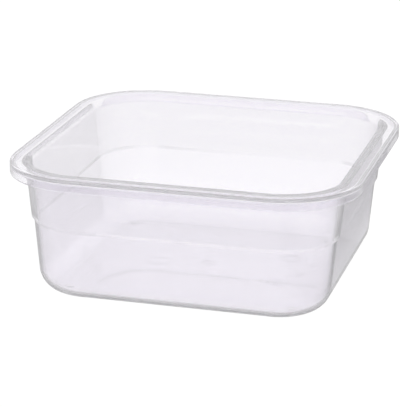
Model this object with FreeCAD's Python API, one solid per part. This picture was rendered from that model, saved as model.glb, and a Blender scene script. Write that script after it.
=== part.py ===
import FreeCAD, Part
import math
import os

# Square food storage tub, injection moulded in one piece from clear
# polypropylene. Empty and without its lid.
#
# Frame: millimetres, +Z up, origin at the centre of the underside (the level
# of the table that the four feet stand on). X and Y run along the sides.
#
# Every horizontal outline of the tub is a square with round corners, and all
# the outlines share one square core: an outline is the core grown outwards by
# some offset. So the whole body is one upright section, drawn as offset from
# the core against height, carried along the four sides and turned through a
# quarter circle at each corner.

# ---------------------------------------------------------------- dimensions
side = 150.0               # over the rim, both ways
core_half = 41.0           # half the side of the core square
foot_height = 0.4          # the feet stand this far below the underside
height = 57.6              # table to the top of the rim

# rim: a flat flange with a skirt hanging from its outer edge
rim_offset = side / 2 - core_half      # 34: also the rim's corner radius
skirt_height = 5.2         # top of the rim to the foot of the skirt
skirt_thickness = 1.35     # at its foot
skirt_taper = 0.15         # gain in thickness up to the flange
flange_thickness = 1.75
rim_outer_round = 0.9      # top outer edge of the rim
rim_inner_round = 2.8      # top inner edge, where the mouth flares
under_rim_round = 2.0      # wall to flange, on the outside
skirt_inner_round = 0.9    # flange to skirt, on the inside
skirt_foot_round = 0.45    # both edges of the skirt's foot

# outside of the walls: a thick upper band, a step inwards, a thinner lower
# band. The step is what stops a nested tub from jamming.
upper_top_offset = 27.1    # at the level of the skirt's foot
step_top_z = 33.3
step_top_offset = 25.25
step_bottom_z = 31.7
step_bottom_offset = 24.15
step_round = 0.45
base_top_z = 12.4          # where the lower wall meets the base's round edge
base_top_offset = 22.45
base_round = 10.0          # outer round between wall and base

# inside: one plain drafted wall from the mouth down to the floor
mouth_offset = 24.6        # at the level of the rim's top
floor_offset = 20.45       # where the wall's line meets the floor's level
floor_thickness = 1.75
floor_round = 8.3          # inner round between wall and floor

# underside details, all shallower than the feet
foot_radius = 1.9
foot_place = 48.6          # from the centre, along X and along Y
foot_round = 0.15
gate_recess_radius = 3.2
gate_recess_depth = 0.25
gate_nub_radius = 1.1
gate_nub_height = 0.3      # from the recess's roof down
relief = 0.2               # height of the moulded rings and bars
relief_line = 0.7          # their width

# plain rings (centre x, centre y, outer radius) and plain bars (centre x,
# centre y, length, turn in degrees) moulded on the underside
rings = [
    (-22.0, -3.0, 5.2),
    (34.5, -15.5, 4.6),
    (34.5, -15.5, 2.2),
    (34.0, 16.5, 4.2),
    (41.5, -3.5, 1.8),
]
bars = [
    (-28.5, 0.5, 3.4, 90.0),
    (7.0, -15.5, 6.0, 0.0),
    (15.0, -15.5, 6.0, 0.0),
    (28.0, 16.5, 3.4, 90.0),
    (40.8, 16.5, 3.4, 90.0),
    (27.5, -15.5, 3.4, 90.0),
]

V = FreeCAD.Vector


def rounded_section(corners):
    """A closed flat face in the XZ plane. corners is a list of (offset, z,
    radius): each corner is rounded by an arc of that radius, tangent to both
    of its sides, or left sharp where the radius is 0."""
    n = len(corners)
    cut = []
    for i, (x, z, r) in enumerate(corners):
        p = V(x, 0, z)
        a = V(corners[i - 1][0], 0, corners[i - 1][1]) - p
        b = V(corners[(i + 1) % n][0], 0, corners[(i + 1) % n][1]) - p
        a.normalize()
        b.normalize()
        if r <= 0:
            cut.append((p, None, p))
            continue
        half = a.getAngle(b) / 2
        back = r / math.tan(half)
        bis = a + b
        bis.normalize()
        middle = p + bis * (r / math.sin(half) - r)
        cut.append((p + a * back, middle, p + b * back))
    edges = []
    for i, (start, middle, end) in enumerate(cut):
        if middle is not None:
            edges.append(Part.Arc(start, middle, end).toShape())
        nxt = cut[(i + 1) % n][0]
        if (nxt - end).Length > 1e-6:
            edges.append(Part.LineSegment(end, nxt).toShape())
    return Part.Face(Part.Wire(edges))


# ------------------------------------------------------------------- section
under = foot_height
rim_foot = height - skirt_height
flange_under = height - flange_thickness
floor_z = under + floor_thickness

# the wall's outer line, carried on up from the level of the skirt's foot to
# the underside of the flange
upper_slope = (upper_top_offset - step_top_offset) / (rim_foot - step_top_z)
flange_root = upper_top_offset + upper_slope * (flange_under - rim_foot)
# and the lower wall's line, carried on down to the underside
lower_slope = (step_bottom_offset - base_top_offset) / (step_bottom_z - base_top_z)
base_corner = base_top_offset - lower_slope * (base_top_z - under)

section = rounded_section([
    (0.0, under, 0),
    (base_corner, under, base_round),
    (step_bottom_offset, step_bottom_z, step_round),
    (step_top_offset, step_top_z, step_round),
    (flange_root, flange_under, under_rim_round),
    (rim_offset - skirt_thickness - skirt_taper, flange_under, skirt_inner_round),
    (rim_offset - skirt_thickness, rim_foot, skirt_foot_round),
    (rim_offset, rim_foot, skirt_foot_round),
    (rim_offset, height, rim_outer_round),
    (mouth_offset, height, rim_inner_round),
    (floor_offset, floor_z, floor_round),
    (0.0, floor_z, 0),
])

# ----------------------------------------------------- four sides, four corners
pieces = []
for k in range(4):
    turn = 90.0 * k
    wall = section.copy()
    wall.translate(V(core_half, -core_half, 0))
    wall = wall.extrude(V(0, 2 * core_half, 0))
    wall.rotate(V(0, 0, 0), V(0, 0, 1), turn)
    corner = section.revolve(V(0, 0, 0), V(0, 0, 1), 90.0)
    corner.translate(V(core_half, core_half, 0))
    corner.rotate(V(0, 0, 0), V(0, 0, 1), turn)
    pieces += [wall, corner]
core_floor = Part.makeBox(2 * core_half, 2 * core_half, floor_thickness,
                          V(-core_half, -core_half, under))
body = core_floor.multiFuse(pieces).removeSplitter()


# -------------------------------------------------------------- underside
def disc(x, y, radius, z_low, z_high, edge=0.0):
    """An upright round peg, its lower edge rounded."""
    peg = Part.makeCylinder(radius, z_high - z_low, V(x, y, z_low))
    if edge > 0:
        low = [e for e in peg.Edges
               if abs(e.BoundBox.ZMax - z_low) < 1e-6 and e.BoundBox.XLength > radius]
        peg = peg.makeFillet(edge, low)
    return peg


into = 0.4                 # how far the added details reach into the floor
added = []
for sx in (-1, 1):
    for sy in (-1, 1):
        added.append(disc(sx * foot_place, sy * foot_place, foot_radius,
                          0.0, under + into, foot_round))

for x, y, radius in rings:
    outer = Part.makeCylinder(radius, relief + into, V(x, y, under - relief))
    inner = Part.makeCylinder(radius - relief_line, relief + into, V(x, y, under - relief))
    added.append(outer.cut(inner))
for x, y, length, turn in bars:
    bar = Part.makeBox(length - relief_line, relief_line, relief + into,
                       V(-(length - relief_line) / 2, -relief_line / 2, under - relief))
    ends = [Part.makeCylinder(relief_line / 2, relief + into,
                              V(s * (length - relief_line) / 2, 0, under - relief))
            for s in (-1, 1)]
    bar = bar.multiFuse(ends).removeSplitter()
    bar.rotate(V(0, 0, 0), V(0, 0, 1), turn)
    bar.translate(V(x, y, 0))
    added.append(bar)

recess = Part.makeCylinder(gate_recess_radius, gate_recess_depth + 1.0,
                           V(0, 0, under - 1.0))
nub_low = under + gate_recess_depth - gate_nub_height
body = body.cut(recess)
added.append(disc(0, 0, gate_nub_radius, nub_low, under + gate_recess_depth + into))

tub = body.multiFuse(added).removeSplitter()
if tub.ShapeType != "Solid":
    solids = tub.Solids
    if len(solids) != 1:
        raise ValueError("the tub should be one solid, not %d" % len(solids))
    tub = solids[0]
if not tub.isValid():
    raise ValueError("the tub's solid is not valid")

box = tub.BoundBox
print("tub: %.2f x %.2f x %.2f mm, z from %.3f, %.1f cm3, %.1f g in polypropylene, %d faces"
      % (box.XLength, box.YLength, box.ZLength, box.ZMin,
         tub.Volume / 1000, tub.Volume / 1000 * 0.905, len(tub.Faces)))

os.makedirs("parts", exist_ok=True)
tub.exportStep("parts/tub.step")
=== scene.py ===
import math

import bmesh
import bpy
from mathutils import Matrix, Vector


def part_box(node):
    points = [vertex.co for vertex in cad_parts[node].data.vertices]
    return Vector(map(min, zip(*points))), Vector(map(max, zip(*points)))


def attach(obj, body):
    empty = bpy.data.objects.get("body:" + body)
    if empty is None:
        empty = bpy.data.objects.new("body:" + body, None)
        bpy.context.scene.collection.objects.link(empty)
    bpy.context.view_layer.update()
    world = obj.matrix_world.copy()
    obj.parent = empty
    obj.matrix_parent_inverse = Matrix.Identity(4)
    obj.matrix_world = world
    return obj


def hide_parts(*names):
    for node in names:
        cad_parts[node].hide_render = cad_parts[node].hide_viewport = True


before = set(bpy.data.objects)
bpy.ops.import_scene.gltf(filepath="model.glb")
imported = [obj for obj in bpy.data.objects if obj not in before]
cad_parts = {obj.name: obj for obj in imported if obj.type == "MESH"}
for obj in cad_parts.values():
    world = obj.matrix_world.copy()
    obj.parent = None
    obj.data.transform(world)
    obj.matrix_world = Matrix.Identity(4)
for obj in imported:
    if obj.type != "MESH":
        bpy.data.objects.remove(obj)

# A square tub of clear-hazy moulded plastic, open at the top: one closed skin
# with the real wall thickness, so light bends and dims in it as in the real
# one. It stands on a white floor in a soft white studio.

scene = bpy.context.scene
scene.view_settings.view_transform = "Standard"
scene.view_settings.look = "None"


def corners(bounds):
    low, high = bounds
    return [[float(v) for v in low], [float(v) for v in high]]


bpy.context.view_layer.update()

# ---------------------------------------------------------------- sizes, mm
# The same named sizes as the CAD part: every outline is a square core grown
# outwards by an offset, so the wall is one section of (offset, height).
lo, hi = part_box("tub")
SIDE = (hi[0] - lo[0]) * 1000          # 150 over the rim
HEIGHT = hi[2] * 1000                  # 57.6, table to the top of the rim
CORE = 41.0
UNDER, FLOOR = 0.4, 2.15               # underside and inside floor levels
RIM = SIDE / 2 - CORE
FOOT_Z = HEIGHT - 5.2                  # foot of the rim's skirt
FLANGE_Z = HEIGHT - 1.75
UP_SLOPE = (27.1 - 25.25) / (FOOT_Z - 33.3)
LOW_SLOPE = (24.15 - 22.45) / (31.7 - 12.4)
SECTION = [
    (0.0, UNDER, 0),
    (22.45 - LOW_SLOPE * (12.4 - UNDER), UNDER, 10.0),
    (24.15, 31.7, 0.45),
    (25.25, 33.3, 0.45),
    (27.1 + UP_SLOPE * (FLANGE_Z - FOOT_Z), FLANGE_Z, 2.0),
    (RIM - 1.5, FLANGE_Z, 0.9),
    (RIM - 1.35, FOOT_Z, 0.45),
    (RIM, FOOT_Z, 0.45),
    (RIM, HEIGHT, 0.9),
    (24.6, HEIGHT, 2.8),
    (20.45, FLOOR, 8.3),
    (0.0, FLOOR, 0),
]
SIDE_CUTS, CORNER_CUTS = 30, 32


def section_line(corners, turn_step=8.0, longest=3.5, support=0.12):
    """The section as a fine line of (offset, z): arcs in short steps, straight
    runs with a point close to each end so that flats stay flat when shaded."""
    pts = []
    cut = []
    n = len(corners)
    for i, (x, z, r) in enumerate(corners):
        p = Vector((x, z))
        if r <= 0:
            cut.append((p, [p], p))
            continue
        a = (Vector(corners[i - 1][:2]) - p).normalized()
        b = (Vector(corners[(i + 1) % n][:2]) - p).normalized()
        half = a.angle(b) / 2
        start, end = p + a * (r / math.tan(half)), p + b * (r / math.tan(half))
        centre = p + (a + b).normalized() * (r / math.sin(half))
        u, v = start - centre, end - centre
        turn = u.angle(v)
        steps = max(4, math.ceil(math.degrees(turn) / turn_step), math.ceil(turn * r / 0.8))
        sign = 1 if u.x * v.y - u.y * v.x > 0 else -1
        arc = []
        for k in range(steps + 1):
            t = sign * turn * k / steps
            arc.append(centre + Vector((u.x * math.cos(t) - u.y * math.sin(t),
                                        u.x * math.sin(t) + u.y * math.cos(t))))
        cut.append((start, arc, end))
    for i, (start, arc, end) in enumerate(cut):
        pts += arc
        if i + 1 < n:
            nxt = cut[i + 1][0]
            run = (nxt - end).length
            if run > 4 * support:
                way = (nxt - end).normalized()
                inner = [support]
                m = max(1, math.ceil((run - 2 * support) / longest))
                inner += [support + (run - 2 * support) * k / m for k in range(1, m)]
                inner.append(run - support)
                pts += [end + way * d for d in inner]
    clean = [pts[0]]
    for p in pts[1:]:
        if (p - clean[-1]).length > 1e-4:
            clean.append(p)
    return clean


def turned(x, y, k):
    return ((x, y), (-y, x), (-x, -y), (y, -x))[k % 4]


def shell_mesh():
    """The walls, rim and floor as one closed skin of quads, in millimetres."""
    line = section_line(SECTION)
    bm = bmesh.new()
    n, m = SIDE_CUTS, CORNER_CUTS

    def core_grid(z):
        grid = [[bm.verts.new((-CORE + 2 * CORE * i / n, -CORE + 2 * CORE * j / n, z))
                 for j in range(n + 1)] for i in range(n + 1)]
        for i in range(n):
            for j in range(n):
                bm.faces.new((grid[i][j], grid[i + 1][j], grid[i + 1][j + 1], grid[i][j + 1]))
        ring = []
        ring += [grid[n][j] for j in range(n + 1)] + [grid[n][n]] * (m - 1)
        ring += [grid[n - j][n] for j in range(n + 1)] + [grid[0][n]] * (m - 1)
        ring += [grid[0][n - j] for j in range(n + 1)] + [grid[0][0]] * (m - 1)
        ring += [grid[j][0] for j in range(n + 1)] + [grid[n][0]] * (m - 1)
        return ring

    def ring_at(offset, z):
        ring = []
        for k in range(4):
            for j in range(n + 1):
                x, y = turned(CORE + offset, -CORE + 2 * CORE * j / n, k)
                ring.append(bm.verts.new((x, y, z)))
            for j in range(1, m):
                t = math.pi / 2 * j / m
                x, y = turned(CORE + offset * math.cos(t), CORE + offset * math.sin(t), k)
                ring.append(bm.verts.new((x, y, z)))
        return ring

    rings = [core_grid(line[0].y)]
    rings += [ring_at(p.x, p.y) for p in line[1:-1]]
    rings.append(core_grid(line[-1].y))
    for a, b in zip(rings, rings[1:]):
        for i in range(len(a)):
            j = (i + 1) % len(a)
            loop = []
            for v in (a[i], a[j], b[j], b[i]):
                if v not in loop:
                    loop.append(v)
            if len(loop) > 2:
                bm.faces.new(loop)
    bmesh.ops.recalc_face_normals(bm, faces=bm.faces)
    me = bpy.data.meshes.new("tub_shell")
    bm.to_mesh(me)
    bm.free()
    return me


def turned_solid(bm, profile, x, y, cuts=48):
    """A solid of revolution about the upright axis at (x, y): profile is a
    closed loop of (radius, z), or starts and ends on the axis."""
    on_axis = profile[0][0] <= 1e-9
    rows = []
    for r, z in profile:
        if r <= 1e-9:
            v = bm.verts.new((x, y, z))
            rows.append([v] * cuts)
        else:
            rows.append([bm.verts.new((x + r * math.cos(2 * math.pi * i / cuts),
                                       y + r * math.sin(2 * math.pi * i / cuts), z))
                         for i in range(cuts)])
    pairs = list(zip(rows, rows[1:]))
    if not on_axis:
        pairs.append((rows[-1], rows[0]))
    for a, b in pairs:
        for i in range(cuts):
            j = (i + 1) % cuts
            loop = []
            for v in (a[i], a[j], b[j], b[i]):
                if v not in loop:
                    loop.append(v)
            if len(loop) > 2:
                bm.faces.new(loop)


def bar_solid(bm, x, y, length, width, z_low, z_high, edge, turn):
    """A low upright bar with round ends and its lower edge bevelled."""
    cuts = 12
    rows = []
    half = (length - width) / 2
    for grow, z in ((-edge, z_low), (0.0, z_low + edge), (0.0, z_high)):
        r = width / 2 + grow
        row = []
        for s in (1, -1):
            for i in range(cuts + 1):
                t = math.pi * i / cuts - math.pi / 2
                px, py = s * (half + r * math.cos(t)), s * r * math.sin(t)
                c, q = math.cos(turn), math.sin(turn)
                row.append(bm.verts.new((x + px * c - py * q, y + px * q + py * c, z)))
        rows.append(row)
    for a, b in zip(rows, rows[1:]):
        for i in range(len(a)):
            j = (i + 1) % len(a)
            bm.faces.new((a[i], a[j], b[j], b[i]))
    bm.faces.new(rows[0])
    bm.faces.new(rows[-1])


def finish_mesh(bm, name):
    bmesh.ops.recalc_face_normals(bm, faces=bm.faces)
    me = bpy.data.meshes.new(name)
    bm.to_mesh(me)
    bm.free()
    o = bpy.data.objects.new(name, me)
    scene.collection.objects.link(o)
    return o


INTO = 0.5          # how far the added details reach up into the floor
RINGS = [(-22.0, -3.0, 5.2), (34.5, -15.5, 4.6), (34.5, -15.5, 2.2), (34.0, 16.5, 4.2), (41.5, -3.5, 1.8)]
BARS = [(-28.5, 0.5, 3.4, 90), (7.0, -15.5, 6.0, 0), (15.0, -15.5, 6.0, 0), (28.0, 16.5, 3.4, 90),
        (40.8, 16.5, 3.4, 90), (27.5, -15.5, 3.4, 90)]


def tub_object():
    shell = bpy.data.objects.new("tub_shell", shell_mesh())
    scene.collection.objects.link(shell)
    # the moulding gate's shallow recess, cut out of the underside
    bm = bmesh.new()
    turned_solid(bm, [(0, UNDER - 1.0), (3.2, UNDER - 1.0), (3.2, UNDER + 0.19), (3.14, UNDER + 0.25), (0, UNDER + 0.25)], 0, 0, 64)
    gate = finish_mesh(bm, "gate_recess")
    # what stands proud of it: feet, the gate's nub, plain rings and bars
    bm = bmesh.new()
    for sx in (-1, 1):
        for sy in (-1, 1):
            turned_solid(bm, [(0, 0), (1.75, 0), (1.856, 0.044), (1.9, 0.15), (1.9, UNDER + INTO), (0, UNDER + INTO)],
                         sx * 48.6, sy * 48.6, 40)
    top = UNDER + 0.25
    turned_solid(bm, [(0, top - 0.3), (0.9, top - 0.3), (1.1, top - 0.12), (1.1, top + INTO), (0, top + INTO)], 0, 0, 32)
    low = UNDER - 0.2
    for x, y, r in RINGS:
        turned_solid(bm, [(r - 0.7, UNDER + INTO), (r - 0.7, low + 0.07), (r - 0.63, low), (r - 0.07, low), (r, low + 0.07),
                          (r, UNDER + INTO)], x, y, 64)
    for x, y, length, turn in BARS:
        bar_solid(bm, x, y, length, 0.7, low, UNDER + INTO, 0.07, math.radians(turn))
    proud = finish_mesh(bm, "proud_details")
    for tool, op in ((gate, "DIFFERENCE"), (proud, "UNION")):
        b = shell.modifiers.new(op.lower(), "BOOLEAN")
        b.operation, b.object, b.solver = op, tool, "EXACT"
        if op == "UNION":
            b.use_self = False
    deps = bpy.context.evaluated_depsgraph_get()
    me = bpy.data.meshes.new_from_object(shell.evaluated_get(deps))
    for o in (shell, gate, proud):
        bpy.data.objects.remove(o)
    bm = bmesh.new()
    bm.from_mesh(me)
    bmesh.ops.remove_doubles(bm, verts=bm.verts, dist=1e-5)
    bmesh.ops.dissolve_degenerate(bm, dist=1e-6, edges=bm.edges)
    bmesh.ops.scale(bm, vec=(0.001, 0.001, 0.001), verts=bm.verts)
    bmesh.ops.recalc_face_normals(bm, faces=bm.faces)
    bm.to_mesh(me)
    bm.free()
    me.name = "tub_clear"
    me.shade_smooth()
    me.set_sharp_from_angle(angle=math.radians(34))
    tub = bpy.data.objects.new("tub_clear", me)
    scene.collection.objects.link(tub)
    return tub

tub = tub_object()
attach(tub, "root")
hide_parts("tub")

# ---------------------------------------------------------------- plastic
# Polypropylene: clear with a faint lavender cast, a smooth moulded skin whose
# gloss drifts a little from place to place, and a slight haze in the bulk.
TINT = (0.979, 0.962, 1.0, 1)
IOR = 1.49
GLOSS_LOW, GLOSS_HIGH = 0.035, 0.06       # roughness at the smoothest and the dullest places
DIM, DIM_COLOUR = 4.0, (0.60, 0.56, 0.67, 1)    # bulk absorption, per metre
HAZE, HAZE_SPREAD = 75.0, 0.0  # bulk scattering, per metre

mat = bpy.data.materials.new("clear_plastic_tub")
mat.use_nodes = True
nt = mat.node_tree
nt.nodes.clear()
node, link = nt.nodes.new, nt.links.new
out = node("ShaderNodeOutputMaterial")
skin = node("ShaderNodeBsdfPrincipled")
skin.inputs["Base Color"].default_value = TINT
skin.inputs["Transmission Weight"].default_value = 1.0
skin.inputs["IOR"].default_value = IOR
link(skin.outputs["BSDF"], out.inputs["Surface"])

place = node("ShaderNodeTexCoord")
clouds = node("ShaderNodeTexNoise")
clouds.inputs["Scale"].default_value = 28.0
clouds.inputs["Detail"].default_value = 3.0
clouds.inputs["Roughness"].default_value = 0.55
link(place.outputs["Object"], clouds.inputs["Vector"])
gloss = node("ShaderNodeMapRange")
gloss.inputs["From Min"].default_value = 0.3
gloss.inputs["From Max"].default_value = 0.7
gloss.inputs["To Min"].default_value = GLOSS_LOW
gloss.inputs["To Max"].default_value = GLOSS_HIGH
link(clouds.outputs["Fac"], gloss.inputs["Value"])
link(gloss.outputs["Result"], skin.inputs["Roughness"])

ripple = node("ShaderNodeTexNoise")
ripple.inputs["Scale"].default_value = 150.0
ripple.inputs["Detail"].default_value = 1.0
link(place.outputs["Object"], ripple.inputs["Vector"])
bump = node("ShaderNodeBump")
bump.inputs["Strength"].default_value = 1.0
bump.inputs["Distance"].default_value = 0.000003
link(ripple.outputs["Fac"], bump.inputs["Height"])
link(bump.outputs["Normal"], skin.inputs["Normal"])

dim = node("ShaderNodeVolumeAbsorption")
dim.inputs["Color"].default_value = DIM_COLOUR
dim.inputs["Density"].default_value = DIM
haze = node("ShaderNodeVolumeScatter")
haze.inputs["Color"].default_value = (1, 1, 1, 1)
haze.inputs["Density"].default_value = HAZE
haze.inputs["Anisotropy"].default_value = HAZE_SPREAD
bulk = node("ShaderNodeAddShader")
link(dim.outputs[0], bulk.inputs[0])
link(haze.outputs[0], bulk.inputs[1])
link(bulk.outputs[0], out.inputs["Volume"])

tub.data.materials.clear()
tub.data.materials.append(mat)

# light has to pass many skins and turn inside the rim before it gets out
scene.cycles.max_bounces = 24
scene.cycles.transmission_bounces = 24
scene.cycles.glossy_bounces = 16
scene.cycles.volume_bounces = 4

# ---------------------------------------------------------------- studio
# A white floor, evenly lit from below like a light table where seen straight on.
# In the plastic's own reflections its glow carries painted shade: dimmer overall,
# darker beside the tub's sides, with painted light just in front of it. A white
# surround, brightest behind the camera.
FLOOR_GLOW, FLOOR_WHITE = 0.99, 0.04
FLOOR_PAINTED_DIM_IN_REFLECTIONS = 0.64                     # painted shade: its glow as the plastic reflects it, dimmer than straight on
FLOOR_PAINTED_SHADE_LEFT, FLOOR_PAINTED_SHADE_RIGHT = 0.50, 0.36      # painted shade beside the tub's left and right sides, seen only in reflections
FLOOR_PAINTED_LIGHT_FRONT = 1.45                      # painted light: times this just in front of the tub, seen only in reflections
SURROUND = {"right": 1.2, "left": 1.15, "back": 0.93, "front": 2.4, "top": 1.28}

floor_mat = bpy.data.materials.new("floor_white")
floor_mat.use_nodes = True
ft = floor_mat.node_tree
white = ft.nodes["Principled BSDF"]
white.inputs["Base Color"].default_value = (FLOOR_WHITE, FLOOR_WHITE, FLOOR_WHITE, 1)
white.inputs["Roughness"].default_value = 1.0
white.inputs["Specular IOR Level"].default_value = 0.0
white.inputs["Emission Color"].default_value = (1, 1, 1, 1)
path = ft.nodes.new("ShaderNodeLightPath")
spot = ft.nodes.new("ShaderNodeNewGeometry")
across = ft.nodes.new("ShaderNodeSeparateXYZ")
ft.links.new(spot.outputs["Position"], across.inputs[0])


def floor_ramp(axis, stops):
    """Soft bands of shade or light across the floor, as (metres, value) stops."""
    along = ft.nodes.new("ShaderNodeMapRange")
    along.inputs["From Min"].default_value = -0.2
    along.inputs["From Max"].default_value = 0.2
    ft.links.new(across.outputs[axis], along.inputs["Value"])
    ramp = ft.nodes.new("ShaderNodeValToRGB")
    ramp.color_ramp.interpolation = "EASE"
    while len(ramp.color_ramp.elements) < len(stops):
        ramp.color_ramp.elements.new(0.5)
    for stop, (where, v) in zip(ramp.color_ramp.elements, stops):
        stop.position = (where + 0.2) / 0.4
        stop.color = (v, v, v, 1)
    ft.links.new(along.outputs["Result"], ramp.inputs["Fac"])
    return ramp.outputs["Color"]


# painted shade and painted light for the floor's reflected glow: darker bands beside the tub's sides, a brighter band
# in front
shade = ft.nodes.new("ShaderNodeMath")
shade.operation = "MULTIPLY"
ft.links.new(floor_ramp("X", [(-0.175, FLOOR_PAINTED_DIM_IN_REFLECTIONS), (-0.125, FLOOR_PAINTED_SHADE_LEFT), (-0.080, FLOOR_PAINTED_SHADE_LEFT),
                             (-0.062, FLOOR_PAINTED_DIM_IN_REFLECTIONS), (0.062, FLOOR_PAINTED_DIM_IN_REFLECTIONS), (0.078, FLOOR_PAINTED_SHADE_RIGHT),
                             (0.102, FLOOR_PAINTED_SHADE_RIGHT), (0.125, FLOOR_PAINTED_DIM_IN_REFLECTIONS)]), shade.inputs[0])
ft.links.new(floor_ramp("Y", [(-0.19, 1.0), (-0.15, FLOOR_PAINTED_LIGHT_FRONT), (-0.075, FLOOR_PAINTED_LIGHT_FRONT), (-0.06, 1.0)]), shade.inputs[1])
# the painted bands apply from the first glossy bounce on; seen straight on, the floor glows evenly
glossy = ft.nodes.new("ShaderNodeMath")
glossy.operation = "MINIMUM"
glossy.inputs[1].default_value = 1.0
ft.links.new(path.outputs["Glossy Depth"], glossy.inputs[0])
seen = ft.nodes.new("ShaderNodeMapRange")
seen.inputs["From Min"].default_value = 0.0
seen.inputs["From Max"].default_value = 1.0
seen.inputs["To Min"].default_value = 1.0
ft.links.new(glossy.outputs[0], seen.inputs["Value"])
ft.links.new(shade.outputs[0], seen.inputs["To Max"])
glow = ft.nodes.new("ShaderNodeMath")
glow.operation = "MULTIPLY"
glow.inputs[1].default_value = FLOOR_GLOW
ft.links.new(seen.outputs["Result"], glow.inputs[0])
ft.links.new(glow.outputs[0], white.inputs["Emission Strength"])
mesh = bpy.data.meshes.new("floor")
FAR = 40.0
mesh.from_pydata([(-FAR, -FAR, 0), (FAR, -FAR, 0), (FAR, FAR, 0), (-FAR, FAR, 0)], [], [(0, 1, 2, 3)])
mesh.materials.append(floor_mat)
floor = bpy.data.objects.new("floor", mesh)
scene.collection.objects.link(floor)

world = bpy.data.worlds.new("studio")
scene.world = world
world.use_nodes = True
wt = world.node_tree
sky = wt.nodes["Background"]
sky.inputs["Color"].default_value = (1, 1, 1, 1)
way = wt.nodes.new("ShaderNodeTexCoord")
axes = wt.nodes.new("ShaderNodeSeparateXYZ")
wt.links.new(way.outputs["Generated"], axes.inputs[0])


def wmath(op, a, b):
    n = wt.nodes.new("ShaderNodeMath")
    n.operation = op
    for i, v in enumerate((a, b)):
        if isinstance(v, (int, float)):
            n.inputs[i].default_value = v
        else:
            wt.links.new(v, n.inputs[i])
    return n.outputs[0]


total = 0.0
for name, axis, sign in (("right", "X", 1), ("left", "X", -1), ("back", "Y", 1), ("front", "Y", -1), ("top", "Z", 1)):
    part = wmath("MAXIMUM", wmath("MULTIPLY", axes.outputs[axis], float(sign)), 0.0)
    total = wmath("ADD", wmath("MULTIPLY", wmath("POWER", part, 2.0), SURROUND[name]), total)
wt.links.new(total, sky.inputs["Strength"])

# ---------------------------------------------------------------- camera
AZ, EL, ROLL, DIST = math.radians(15.08), math.radians(17.942), math.radians(0.482), 0.882
low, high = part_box("tub")
aim = Vector(((low[0] + high[0]) / 2, (low[1] + high[1]) / 2, 0.0284))
right = Vector((math.cos(AZ), math.sin(AZ), 0.0))
back = Vector((math.sin(AZ) * math.cos(EL), -math.cos(AZ) * math.cos(EL), math.sin(EL)))
up = back.cross(right)
r2 = right * math.cos(ROLL) + up * math.sin(ROLL)
u2 = -right * math.sin(ROLL) + up * math.cos(ROLL)
cam_data = bpy.data.cameras.new("camera")
cam_data.sensor_width = 36.0
cam_data.lens = 2014.461 / 407 * 36.0
cam_data.clip_start, cam_data.clip_end = 0.01, 100.0
cam = bpy.data.objects.new("camera", cam_data)
cam.matrix_world = Matrix.Translation(aim - 0.004326 * r2 + 0.000113 * u2 + DIST * back) @ Matrix((
    (r2[0], u2[0], back[0], 0), (r2[1], u2[1], back[1], 0), (r2[2], u2[2], back[2], 0), (0, 0, 0, 1)))
scene.collection.objects.link(cam)
scene.camera = cam
